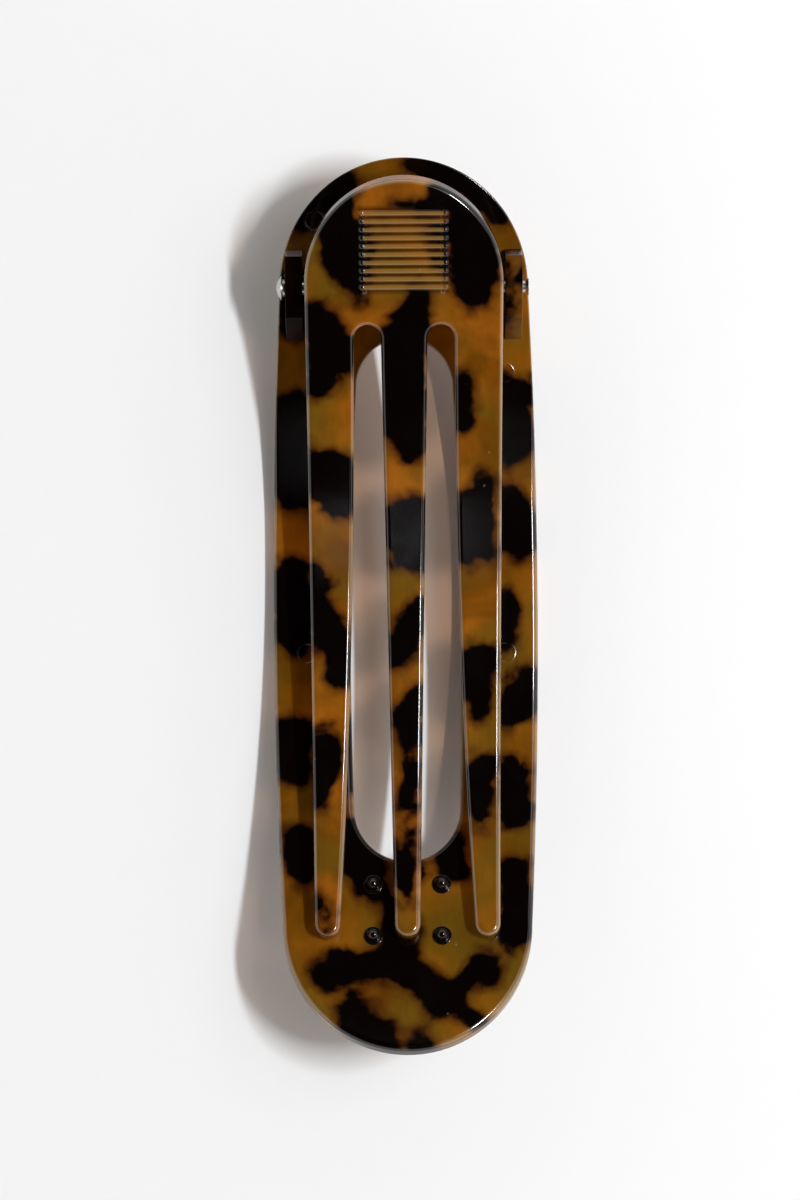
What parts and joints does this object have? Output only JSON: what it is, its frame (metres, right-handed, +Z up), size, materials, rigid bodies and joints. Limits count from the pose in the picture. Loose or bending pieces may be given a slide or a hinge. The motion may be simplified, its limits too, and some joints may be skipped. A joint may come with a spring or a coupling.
{
  "type": "barrette",
  "caption": "Long bowed hair barrette with a round-ended plate, an egg-shaped window and a sprung prong lever that opens by its ribbed thumb pad.",
  "frame": {"origin": "under the middle of the clip, at the lowest point of the bowed underside it lies on", "axes": "+Y along the clip towards the thumb pad, +X to the right seen from above with the thumb pad away from the viewer, +Z up"},
  "size_m": [0.0374, 0.1248, 0.0235],
  "materials": {
    "plate_tortoiseshell": "polished tortoiseshell resin",
    "ear_tortoiseshell": "polished tortoiseshell resin",
    "lever_tortoiseshell": "polished tortoiseshell resin",
    "dark_resin": "polished near-black resin",
    "pin_steel": "nickel-plated",
    "spring_steel": "drawn spring wire"
  },
  "bodies": {
    "base": {"base_plate": "plate_tortoiseshell", "left_ear": "ear_tortoiseshell", "right_ear": "ear_tortoiseshell", "grip_studs": "dark_resin", "hinge_pin": "pin_steel", "torsion_spring": "spring_steel"},
    "lever": {"prong_lever": "lever_tortoiseshell"}
  },
  "joints": [
    {"name": "lever_hinge", "type": "hinge", "parent": "base", "child": "lever", "pos_m": [0, 0.04446, 0.01041], "axis": [-1, 0, 0], "range_deg": [0, 20], "stiffness_Nm_per_rad": 0.32, "springref_deg": -26.93, "deforming": ["torsion_spring"]}
  ]
}
